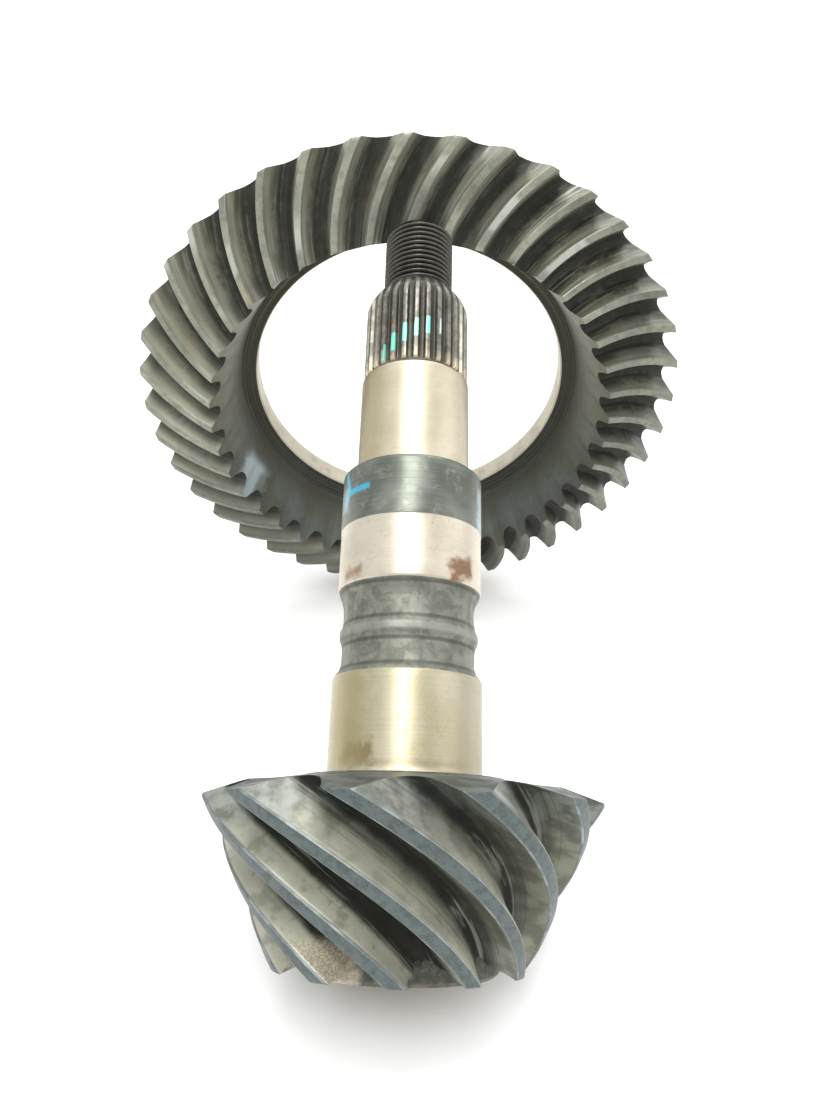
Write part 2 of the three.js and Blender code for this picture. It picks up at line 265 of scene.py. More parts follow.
def ring_teeth_mat():
    n = Net("ring_teeth_phosphate")
    dep, sta, side, tid = n.attr("dep"), n.attr("sta"), n.attr("side"), n.attr("tid")
    big, mid, fine = n.noise(0.06, 3, 0.5), n.noise(0.35, 5, 0.6), n.noise(2.6, 5, 0.65)
    base = n.mix(n.step(big, 0.35, 0.65), (0.200, 0.208, 0.166), (0.285, 0.278, 0.218))
    base = n.mix(n.math("MULTIPLY", n.step(mid, 0.45, 0.7), 0.5), base, (0.095, 0.106, 0.085))
    flank = n.step(dep, 0.04, 0.14)
    # painted light and shade: the two flanks of each tooth take lit and shaded copies of the colour, the side +1 flank
    # darker and the side -1 flank lighter
    lit = n.math("MULTIPLY", n.step(side, 0.2, 0.8), flank)
    base = n.mix(n.math("MULTIPLY", lit, 0.8), base, n.mix(n.step(big, 0.4, 0.6), (0.205, 0.200, 0.152), (0.150, 0.158, 0.122)))
    dark = n.math("MULTIPLY", n.step(side, -0.2, -0.8), flank)
    base = n.mix(n.math("MULTIPLY", dark, 0.85), base, n.mix(n.step(big, 0.38, 0.62), (0.470, 0.450, 0.350), (0.320, 0.335, 0.275)))
    # painted shade: the flanks darken towards the root
    base = n.mix(n.math("MULTIPLY", n.step(dep, 0.55, 0.95), 0.5), base, (0.085, 0.095, 0.078))
    # painted shade: each flank darkens towards the next tooth, more so on the right
    xx, yy, zz = n.xyz()
    ldk = n.math("MULTIPLY", n.step(side, -0.2, -0.8), n.step(dep, 0.20, 0.66))
    base = n.mix(n.math("MULTIPLY", ldk, 0.72), base, (0.070, 0.072, 0.056))
    rdk = n.math("MULTIPLY", n.math("MULTIPLY", n.step(side, 0.2, 0.8), n.step(dep, 0.12, 0.62)), n.step(xx, 10.0, 60.0))
    base = n.mix(n.math("MULTIPLY", rdk, 0.80), base, (0.035, 0.038, 0.031))
    # smears along the teeth, strongest at the top
    stk = n.streak(5.5, 47.0, 1.6)
    tm = n.math("ADD", 0.14, n.math("MULTIPLY", n.step(yy, 20.0, 80.0), 0.86))
    base = n.mix(n.math("MULTIPLY", n.math("MULTIPLY", n.step(stk, 0.54, 0.64), tm), 0.60), base, (0.50, 0.51, 0.46))
    base = n.mix(n.math("MULTIPLY", n.math("MULTIPLY", n.step(stk, 0.47, 0.38), tm), 0.50), base, (0.105, 0.100, 0.070))
    stk2 = n.streak(13.0, 31.0, 2.4, 2)
    base = n.mix(n.math("MULTIPLY", n.math("MULTIPLY", n.step(stk2, 0.60, 0.68), n.step(yy, 30.0, 80.0)), 0.6), base, (0.36, 0.30, 0.20))
    # lapped wear patch at mid face, smeary edges
    wear = n.math("MULTIPLY", n.math("MULTIPLY", n.step(dep, 0.12, 0.3), n.step(dep, 0.85, 0.6)), n.math("MULTIPLY", n.step(sta, 0.12, 0.35), n.step(sta, 0.92, 0.7)))
    wear = n.math("MULTIPLY", wear, n.step(n.math("ADD", mid, n.math("MULTIPLY", tid, 0.25)), 0.42, 0.72))
    base = n.mix(n.math("MULTIPLY", wear, 0.4), base, (0.44, 0.42, 0.34))
    # the roots go nearly black: painted shade in the tooth gaps, over oily staining
    root = n.step(n.math("ADD", dep, n.math("MULTIPLY", n.math("SUBTRACT", mid, 0.5), 0.12)), 0.76, 0.97)
    base = n.mix(n.math("MULTIPLY", root, 0.9), base, (0.020, 0.020, 0.016))
    # painted shade: the colour is darkened on the right side and towards the bottom
    base = n.mix(n.math("MULTIPLY", n.step(xx, 35.0, 85.0), 0.75), base, n.mix(1.0, base, (0.74, 0.75, 0.74), "MULTIPLY"))
    low = n.step(n.math("ADD", yy, n.math("MULTIPLY", big, 40.0)), 50.0, -70.0)
    base = n.mix(n.math("MULTIPLY", low, 0.85), base, n.mix(1.0, base, (0.42, 0.44, 0.42), "MULTIPLY"))
    # painted highlight along the topland edges, with brighter patches as nicks
    edge = n.attr("edge")
    nicks_and_edge_glint = n.math("MULTIPLY", n.step(edge, 0.45, 1.0), n.math("ADD", 0.10, n.step(n.noise(0.22, 4, 0.6), 0.54, 0.68)))
    base = n.mix(n.math("MULTIPLY", nicks_and_edge_glint, 0.26), base, (0.44, 0.46, 0.43))
    base = n.mix(n.math("MULTIPLY", n.step(fine, 0.56, 0.75), 0.28), base, (0.09, 0.10, 0.08))
    rough = n.math("ADD", 0.40, n.math("ADD", n.math("MULTIPLY", mid, 0.16), n.math("MULTIPLY", root, 0.22)))
    cut = n.noise(1.0, 2, 0.5, n.loc((0.25, 0.25, 3.2)))
    h = n.math("ADD", n.math("MULTIPLY", fine, 0.7), n.math("MULTIPLY", cut, 0.5))
    return n.done(base, rough, 0.62, n.bump(h, 0.3, 0.0001))


def ring_cone_mat(name, tone=1.0, tan=0.0):
    n = Net(name)
    big, mid, fine = n.noise(0.045, 3, 0.5), n.noise(0.28, 6, 0.62, dist=0.6), n.noise(2.2, 6, 0.68)
    k = tone
    base = n.mix(n.step(big, 0.35, 0.65), (0.080 * k, 0.083 * k, 0.060 * k), (0.098 * k, 0.109 * k, 0.102 * k))
    base = n.mix(n.math("MULTIPLY", n.step(mid, 0.45, 0.72), 0.6), base, (0.078 * k, 0.084 * k, 0.068 * k))
    if tan:
        base = n.mix(tan, base, (0.50, 0.455, 0.365))
        base = n.mix(n.math("MULTIPLY", n.step(n.noise(0.12, 5, 0.6), 0.48, 0.66), 0.6), base, (0.27, 0.245, 0.195))
    x, y, z = n.xyz()
    rr = n.math("SQRT", n.math("ADD", n.math("MULTIPLY", x, x), n.math("MULTIPLY", y, y)))
    if not tan:
        # brown above, grey below, a split that is partly the cone's own tone and partly painted shade; turned lines and
        # a soft painted shade towards the bore
        base = n.mix(n.math("MULTIPLY", n.step(y, -35.0, 25.0), 0.75), base, (0.116 * k, 0.108 * k, 0.060 * k))
        c = n.node("ShaderNodeCombineXYZ")
        n.put(c.inputs[0], n.math("MULTIPLY", rr, 1.5))
        n.put(c.inputs[1], n.math("MULTIPLY", z, 1.5))
        lines = n.noise(1.0, 3, 0.6, c.outputs[0])
        base = n.mix(n.math("MULTIPLY", n.step(lines, 0.50, 0.66), 0.5 if k < 0.9 else 0.18), base, (0.118, 0.106, 0.070))
        if k > 0.9:
            base = n.mix(n.math("MULTIPLY", n.step(rr, 77.5, 73.0), 0.62), base, (0.040, 0.036, 0.024))
    spk = n.step(fine, 0.55, 0.74)
    base = n.mix(n.math("MULTIPLY", spk, 0.25), base, (0.25 * k, 0.27 * k, 0.25 * k))
    # pale smudge low on the left of the toe side
    d = n.math("SQRT", n.math("ADD", n.math("POWER", n.math("ADD", x, 70.5), 2.0), n.math("POWER", n.math("ADD", y, 32.3), 2.0)))
    sm = n.step(n.math("ADD", d, n.math("MULTIPLY", n.noise(0.16, 4, 0.6), 11.0)), 15.8, 10.5)
    sm = n.math("MULTIPLY", sm, n.step(rr, 74.6, 76.6))
    d2 = n.math("SQRT", n.math("ADD", n.math("POWER", n.math("ADD", x, 68.5), 2.0), n.math("POWER", n.math("ADD", y, 38.0), 2.0)))
    sm = n.math("MULTIPLY", sm, n.math("SUBTRACT", 1.0, n.math("MULTIPLY", n.step(n.math("ADD", d2, n.math("MULTIPLY", mid, 3.0)), 6.0, 3.0), 0.75)))
    base = n.mix(n.math("MULTIPLY", sm, 0.66 if not tan and k > 0.9 else 0.0), base, (0.41, 0.49, 0.52))
    rings = n.noise(1.0, 3, 0.5, n.loc((0.03, 0.03, 2.4)))
    rough = n.math("ADD", 0.38, n.math("MULTIPLY", mid, 0.22))
    h = n.math("ADD", n.math("MULTIPLY", fine, 0.6), n.math("MULTIPLY", rings, 0.8))
    return n.done(base, rough, 0.75, n.bump(h, 0.35, 0.00015))


def head_mat():
    n = Net("pinion_head_satin")
    dep, sta, side, tid = n.attr("dep"), n.attr("sta"), n.attr("side"), n.attr("tid")
    big, mid, fine = n.noise(0.07, 3, 0.5), n.noise(0.17, 5, 0.55), n.noise(2.4, 6, 0.7)
    flank = n.step(dep, 0.03, 0.10)
    # toplands: blue-grey, speckled
    top = n.mix(n.step(n.math("ADD", n.math("MULTIPLY", fine, 0.5), n.math("MULTIPLY", n.noise(0.5, 5, 0.6), 0.5)), 0.42, 0.62), (0.104, 0.127, 0.125), (0.065, 0.080, 0.076))
    top = n.mix(n.math("MULTIPLY", n.step(fine, 0.66, 0.78), 0.4), top, (0.34, 0.39, 0.39))
    # wide flank facing the thread: painted light, a light copy of the flank colour, darkened towards the root as
    # painted shade
    lit = n.mix(n.step(big, 0.35, 0.65), (0.470, 0.464, 0.388), (0.340, 0.343, 0.275))
    st = n.step(mid, 0.52, 0.66)
    lit = n.mix(n.math("MULTIPLY", st, 0.6), lit, (0.200, 0.205, 0.150))
    lit = n.mix(n.math("MULTIPLY", n.step(n.noise(0.42, 4, 0.55), 0.60, 0.70), 0.5), lit, (0.15, 0.155, 0.115))
    lit = n.mix(n.math("MULTIPLY", n.step(dep, 0.66, 0.98), 0.6), lit, (0.110, 0.115, 0.086))
    # flank facing away: painted shade, a darker copy of the flank colour, nearly black towards the root
    under = n.mix(n.step(mid, 0.38, 0.62), (0.215, 0.220, 0.165), (0.120, 0.126, 0.094))
    under = n.mix(n.math("MULTIPLY", n.step(dep, 0.45, 0.85), 0.7), under, (0.040, 0.042, 0.033))
    fl = n.mix(n.step(side, -0.3, 0.3), under, lit)
    base = n.mix(flank, top, fl)
    hs = n.math("MULTIPLY", n.step(n.math("ADD", sta, n.math("MULTIPLY", n.math("SUBTRACT", n.noise(0.12, 4, 0.5), 0.5), 0.5)), 0.70, 0.95), flank)
    base = n.mix(n.math("MULTIPLY", hs, 0.75), base, n.mix(n.step(mid, 0.42, 0.60), (0.205, 0.225, 0.215), (0.085, 0.093, 0.082)))
    # painted shade: the dark in each gap reaches further up the flank on the left and less far on the right, and a
    # painted light band lies on the middle flanks; streaks run along it
    xx, yy, zz = n.xyz()
    gq = n.math("ADD", xx, n.math("MULTIPLY", n.math("ADD", zz, 6.0), 1.2))
    lf = n.math("MULTIPLY", n.step(gq, -26.0, -40.0), n.step(side, 0.2, 0.8))
    mf = n.math("MULTIPLY", n.math("MULTIPLY", n.step(gq, -40.0, -24.0), n.step(gq, 34.0, 12.0)), n.math("MULTIPLY", n.step(side, 0.2, 0.8), n.step(dep, 0.86, 0.58)))
    base = n.mix(n.math("MULTIPLY", n.math("MULTIPLY", mf, n.step(sta, 0.90, 0.62)), 0.62), base, n.mix(n.step(mid, 0.40, 0.62), (0.66, 0.645, 0.54), (0.44, 0.44, 0.36)))
    rt = n.math("MULTIPLY", n.step(gq, -34.0, -10.0), 0.10)
    dd = n.math("ADD", dep, n.math("SUBTRACT", n.math("MULTIPLY", lf, 0.22), rt))
    # painted shade in the roots, nearly black
    root = n.step(n.math("ADD", dd, n.math("MULTIPLY", n.math("SUBTRACT", mid, 0.5), 0.08)), 0.72, 0.90)
    base = n.mix(n.math("MULTIPLY", root, 0.95), base, (0.012, 0.013, 0.010))
    stk = n.streak(9.0, 53.0, 2.2, 4, 0.6)
    zone = n.math("MULTIPLY", n.step(dep, 0.45, 0.70), n.step(side, -0.9, -0.2))
    base = n.mix(n.math("MULTIPLY", n.math("MULTIPLY", n.step(stk, 0.55, 0.64), zone), 0.60), base, (0.27, 0.275, 0.225))
    base = n.mix(n.math("MULTIPLY", n.math("MULTIPLY", n.step(stk, 0.46, 0.38), n.math("MULTIPLY", flank, n.step(dep, 0.3, 0.6))), 0.42), base, (0.045, 0.047, 0.038))
    # rough unmachined patch near the small end
    tp = n.math("MULTIPLY", n.dab(-20.0, -41.6, 9.0, 4.6, 0, 27.0, 3.0, 2.6), flank)
    base = n.mix(n.math("MULTIPLY", tp, 0.85), base, n.mix(n.step(fine, 0.4, 0.6), (0.49, 0.45, 0.35), (0.24, 0.215, 0.160)))
    # painted highlight along the topland edges, brighter in patches
    edge = n.attr("edge")
    base = n.mix(n.math("MULTIPLY", n.step(edge, 0.45, 1.0), n.math("ADD", 0.16, n.math("MULTIPLY", n.step(n.noise(0.16, 3, 0.5), 0.48, 0.66), 0.34))), base, (0.46, 0.50, 0.49))
    rough = n.math("ADD", 0.40, n.math("ADD", n.math("MULTIPLY", mid, 0.14), n.math("MULTIPLY", root, 0.3)))
    cut = n.noise(1.0, 2, 0.5, n.loc((0.5, 0.5, 2.0)))
    h = n.math("ADD", n.math("MULTIPLY", fine, 0.6), n.math("MULTIPLY", cut, 0.4))
    return n.done(base, rough, 0.70, n.bump(h, 0.22, 0.0001))


def head_end_mat():
    n = Net("pinion_head_ends")
    mid, fine = n.noise(0.2, 5, 0.55), n.noise(2.3, 6, 0.7)
    base = n.mix(n.step(mid, 0.38, 0.62), (0.140, 0.162, 0.160), (0.060, 0.069, 0.063))
    base = n.mix(n.math("MULTIPLY", n.step(fine, 0.54, 0.72), 0.45), base, (0.13, 0.14, 0.12))
    rough = n.math("ADD", 0.36, n.math("MULTIPLY", mid, 0.2))
    return n.done(base, rough, 0.75, n.bump(n.math("ADD", fine, n.noise(1.0, 2, 0.5, n.loc((0.04, 0.04, 2.6)))), 0.35, 0.00014))


def toe_mat():
    n = Net("pinion_toe_rough")
    mid, fine = n.noise(0.35, 6, 0.65, dist=0.7), n.noise(2.0, 6, 0.72)
    # dark base colours: painted shade of the zone under the teeth
    base = n.mix(n.step(mid, 0.38, 0.62), (0.105, 0.102, 0.080), (0.050, 0.053, 0.043))
    base = n.mix(n.math("MULTIPLY", n.step(fine, 0.52, 0.72), 0.3), base, (0.26, 0.25, 0.21))
    base = n.mix(n.math("MULTIPLY", n.dab(-18.0, -41.5, 9.0, 7.0, 0, 24.7, 4.0, 3.0), 0.75), base, n.mix(n.step(fine, 0.4, 0.6), (0.60, 0.535, 0.43), (0.33, 0.28, 0.21)))
    return n.done(base, n.math("ADD", 0.45, n.math("MULTIPLY", mid, 0.2)), 0.55, n.bump(fine, 0.8, 0.0004))


def journal_mat(name, a, b, stain, stain_amt, rough0, speck=0.3, rust=0.0, dabs=()):
    n = Net(name)
    turned = n.noise(1.0, 4, 0.6, n.loc((0.02, 0.02, 3.5)))
    fine_t = n.noise(1.0, 2, 0.5, n.loc((0.05, 0.05, 14.0)))
    big, mid, fine = n.noise(0.07, 3, 0.5), n.noise(0.35, 6, 0.6, dist=0.5), n.noise(2.5, 6, 0.7)
    base = n.mix(n.step(n.math("ADD", n.math("MULTIPLY", big, 0.7), n.math("MULTIPLY", turned, 0.3)), 0.38, 0.62), a, b)
    base = n.mix(n.math("MULTIPLY", n.step(mid, 0.53, 0.72), stain_amt), base, stain)
    base = n.mix(n.math("MULTIPLY", n.step(n.math("MULTIPLY", fine, n.math("ADD", 0.6, n.math("MULTIPLY", big, 0.8))), 0.56, 0.70), speck), base, tuple(c * 0.35 for c in stain))
    if rust:
        rm = n.math("MULTIPLY", n.step(n.noise(0.5, 6, 0.7, dist=1.0), 0.60, 0.70), rust)
        base = n.mix(rm, base, (0.30, 0.155, 0.060))
    for (u0, z0, hu, hz, sl, rad, col, amt, edge, wob) in dabs:
        base = n.mix(n.math("MULTIPLY", n.dab(u0, z0, hu, hz, sl, rad, edge, wob), amt), base, col)
    rough = n.math("ADD", rough0, n.math("ADD", n.math("MULTIPLY", mid, 0.10), n.math("MULTIPLY", fine_t, 0.06)))
    h = n.math("ADD", n.math("MULTIPLY", turned, 0.7), n.math("ADD", n.math("MULTIPLY", fine_t, 0.5), n.math("MULTIPLY", fine, 0.25)))
    return n.done(base, rough, 0.93, n.bump(h, 0.22, 0.00008))


def forged_mat(name, a, b, c, rough0, metal, bump, dist, dabs=()):
    n = Net(name)
    mid, fine = n.noise(0.22, 6, 0.62, dist=0.6), n.noise(1.7, 6, 0.7)
    base = n.mix(n.step(mid, 0.38, 0.64), a, b)
    base = n.mix(n.math("MULTIPLY", n.step(fine, 0.54, 0.70), 0.55), base, c)
    for (u0, z0, hu, hz, sl, rad, col, amt, edge, wob) in dabs:
        base = n.mix(n.math("MULTIPLY", n.dab(u0, z0, hu, hz, sl, rad, edge, wob), amt), base, col)
    if name == "neck_forged":
        z = n.xyz()[2]
        # painted shade: thin dark lines where the neck's profile steps
        for z0 in (27.6, 34.2, 40.2, 49.4):
            ln_ = n.step(n.math("ABSOLUTE", n.math("SUBTRACT", z, z0)), 0.75, 0.25)
            base = n.mix(n.math("MULTIPLY", ln_, 0.6), base, (0.045, 0.046, 0.038))
        base = n.mix(n.math("MULTIPLY", n.step(n.math("ABSOLUTE", n.math("SUBTRACT", z, 37.3)), 1.5, 0.7), 0.35), base, (0.33, 0.34, 0.31))
    rough = n.math("ADD", rough0, n.math("MULTIPLY", mid, 0.2))
    return n.done(base, rough, metal, n.bump(n.math("ADD", fine, n.math("MULTIPLY", n.noise(1.0, 3, 0.5, n.loc((0.05, 0.05, 2.2))), 0.6)), bump, dist))


# ------------------------------------------------------------------ ring gear
RG = dict(teeth=41, heelR=112.0, heelZ=0.0, toeR=82.0, toeZ=14.8, heelD=9.6, toeD=7.6, heelPsi=37, toePsi=15,
          heelSlot=3.4, toeSlot=3.5, heelTop=2.7, toeTop=2.6, phase=2.2)


def ring_visual():
    g = RG
    pitch = TAU / g["teeth"]
    ln = math.hypot(g["heelR"] - g["toeR"], g["toeZ"] - g["heelZ"])
    n0, n1 = (g["toeZ"] - g["heelZ"]) / ln, (g["heelR"] - g["toeR"]) / ln
    steps = 200
    table = [0.0]
    for i in range(1, steps + 1):
        t = (i - 0.5) / steps
        psi = lerp(g["toePsi"], g["heelPsi"], t) * DEG
        table.append(table[-1] + math.tan(psi) * (ln / steps) / lerp(g["toeR"], g["heelR"], t))
    heel_ang = table[steps]
    ts = [0.0, 0.012, 0.03] + list(np.linspace(0.075, 0.925, 18)) + [0.97, 0.988, 1.0]
    loops, dep, sta, side, tid, edge = [], [], [], [], [], []
    rng = np.random.default_rng(7)
    tooth_rand = rng.random(g["teeth"])
    angs0 = angs1 = None
    for t in ts:
        psi = lerp(g["toePsi"], g["heelPsi"], t) * DEG
        c = math.cos(psi)
        rt, zt = lerp(g["toeR"], g["heelR"], t), lerp(g["toeZ"], g["heelZ"], t)
        depth, slot, top = lerp(g["toeD"], g["heelD"], t), lerp(g["toeSlot"], g["heelSlot"], t), lerp(g["toeTop"], g["heelTop"], t)
        at = heel_ang - float(np.interp(t * steps, range(steps + 1), table))
        rr = rt - depth * n0
        basew = (TAU * rr / g["teeth"]) * c - slot
        pull = 0.0
        if t <= 0.0 or t >= 1.0:
            pull = 0.45                        # small chamfer on both ends of the tooth
        elif t in (ts[1], ts[-2]):
            pull = 0.12
        prof = []                              # (angle, depth, dep, side, edge)
        rho = 0.38
        tip = top / 2
        for u in (0.0, 0.5, 1.0):
            prof.append(((tip - rho) * u / c / rt, pull, 0.0, 0.0, 0.25 * u))
        for th in (35, 65):
            prof.append(((tip - rho + rho * math.sin(th * DEG)) / c / rt, max(pull, rho * (1 - math.cos(th * DEG))), 0.02, 0.5, 1.0))
        for f in (0.07, 0.14, 0.24, 0.36, 0.48, 0.60, 0.72, 0.82, 0.90):
            w = lerp(top, basew, f) / 2 - 0.24 * math.sin(math.pi * f)
            prof.append((w / c / (rt - f * depth * n0), max(pull * 1.2, f * depth), f, 1.0, 0.5 if f < 0.1 else 0.0))
        wl = prof[-1][0]
        for s in (0.18, 0.42, 0.72, 1.0):
            prof.append((lerp(wl, pitch / 2, s), depth * (0.90 + 0.10 * math.sin(s * math.pi / 2)), 0.9 + 0.1 * s, 0.6 * (1 - s), 0.0))
        full = [(-a, d, dd, -sd, e) for a, d, dd, sd, e in prof[::-1][1:-1]] + prof
        A, row = [], []
        for k in range(g["teeth"]):
            for (da, d, dd, sd, e) in full:
                a = k * pitch + at + da + g["phase"] * DEG
                r, z = rt - d * n0, zt - d * n1
                row.append((r * math.cos(a), r * math.sin(a), z))
                A.append(a); dep.append(dd); sta.append(t); side.append(sd); tid.append(tooth_rand[k]); edge.append(e if 0 < t < 1 else 0.6)
        loops.append(row)
        if t == 0.0:
            angs0 = np.array(A)
        angs1 = np.array(A)
    M = len(loops[0])
    nT = len(loops)
    blank = [(101.6, -21.4), (100.6, -25.2), (98.6, -29.0), (67.5, -29.0), (66.5, -28.0), (66.5, -18.3), (69.4, -17.5), (70.6, -15.4), (72.9, -14.7), (74.9, -6.0)]
    toe_root = (82 - 7.6 * n0, 14.8 - 7.6 * n1)
    heel_root = (112 - 9.6 * n0, 0 - 9.6 * n1)
    line = soften([heel_root] + blank + [toe_root], 0.5, 1)[1:-1]
    line = subdivide([np.array(p) for p in line], 9.0)
    cum = np.concatenate([[0], np.cumsum([np.linalg.norm(line[i + 1] - line[i]) for i in range(len(line) - 1)])])
    cum /= cum[-1]
    zone = []
    for (r, z), f in zip(line, cum):
        a = angs1 + (angs0 - angs1) * f
        loops.append(np.stack([r * np.cos(a), r * np.sin(a), np.full(M, z)], 1).tolist())
        zone.append((r, z))
        for arr, v in ((dep, 0.6), (sta, 1.0), (side, 0.0), (tid, 0.5), (edge, 0.0)):
            arr.extend([v] * M)
    L = np.array(loops)
    fm = [0] * (nT - 1) + [1]
    for (r, z), (r2, z2) in zip(zone, zone[1:] + [toe_root]):
        rm, zm = (r + r2) / 2, (z + z2) / 2
        if zm > -14.8 and rm < 80:
            fm.append(1)                        # toe cone
        elif rm < 67.2 and zm < -18.0:
            fm.append(3)                        # bore wall
        elif rm < 73 and zm > -19:
            fm.append(2)                        # step, darkened as painted shade
        elif zm < -28.9:
            fm.append(4)                        # machined back
        else:
            fm.append(1)
    # ring_step_dark is the cone colour at 0.34 tone: painted shade on the step
    mats = [ring_teeth_mat(), ring_cone_mat("ring_toe_cone", 1.0), ring_cone_mat("ring_step_dark", 0.34), ring_cone_mat("ring_bore_wall", 1.0, 0.85),
            journal_mat("ring_back_turned", (0.42, 0.42, 0.38), (0.33, 0.335, 0.30), (0.17, 0.165, 0.13), 0.5, 0.32)]
    o = grid_mesh("ring_gear_visual", L, RING_F, dict(dep=dep, sta=sta, side=side, tid=tid, edge=edge), fm, mats, closed=True, sharp=34)
    # blind tapped holes in the back face
    R, O = RING_F
    vs, fs = [], []
    S = 40
    for k in range(10):
        a = TAU * (k + 0.5) / 10
        c = np.array([83.5 * math.cos(a), 83.5 * math.sin(a)])
        prof = [(6.05, -30.0), (6.05, -29.0), (5.3, -28.1), (5.2, -27.7)]
        z = -27.4
        while z < -13.0:                        # thread rings
            prof += [(4.75, z), (5.2, z + 0.62)]
            z += 1.25
        prof += [(4.6, -11.4), (4.6, -10.6), (0.4, -8.4)]
        base = len(vs)
        for (r, zz) in prof:
            for m in range(S):
                th = TAU * m / S
                vs.append((c[0] + r * math.cos(th), c[1] + r * math.sin(th), zz))
        for j in range(len(prof) - 1):
            for m in range(S):
                q = (base + j * S + m, base + j * S + (m + 1) % S, base + (j + 1) * S + (m + 1) % S, base + (j + 1) * S + m)
                fs.append(q)
        fs.append(tuple(base + m for m in range(S))[::-1])
        fs.append(tuple(base + (len(prof) - 1) * S + m for m in range(S)))
    V = (np.array(vs) @ R.T + O) * MM
    cm = bpy.data.meshes.new("ring_hole_tools")
    cm.from_pydata(V.tolist(), [], fs)
    cm.update()
    at = cm.attributes.new("loc", "FLOAT_VECTOR", "POINT")
    at.data.foreach_set("vector", np.array(vs, np.float32).ravel())
    # the hole walls take a dark colour: painted shade inside the holes
    cm.materials.append(forged_mat("ring_hole_dark", (0.10, 0.10, 0.085), (0.06, 0.06, 0.05), (0.16, 0.16, 0.14), 0.4, 0.8, 0.3, 0.0001))
    co = bpy.data.objects.new("ring_hole_tools", cm)
    bpy.context.scene.collection.objects.link(co)
    md = o.modifiers.new("holes", "BOOLEAN")
    md.operation, md.object, md.solver = "DIFFERENCE", co, "EXACT"
    if hasattr(md, "material_mode"):
        md.material_mode = "TRANSFER"
    bpy.context.view_layer.update()
    dg = bpy.context.evaluated_depsgraph_get()
    new = bpy.data.meshes.new_from_object(o.evaluated_get(dg))
    o.modifiers.clear()
    old = o.data
    o.data = new
    new.name = "ring_gear_visual"
    bpy.data.meshes.remove(old)
    bpy.data.objects.remove(co)
    o.data.polygons.foreach_set("use_smooth", np.ones(len(o.data.polygons), bool))
    o.data.set_sharp_from_angle(angle=34 * DEG)
    return o


# ------------------------------------------------------------------ drive pinion
PG = dict(teeth=11, heelR=52.0, heelZ=-5.6, toeR=31.5, toeZ=-45.4, heelD=10.6, toeD=8.0, lead=2.02,
          heelSlot=3.4, toeSlot=3.0, heelTop=3.6, toeTop=3.2, phase=8.2)


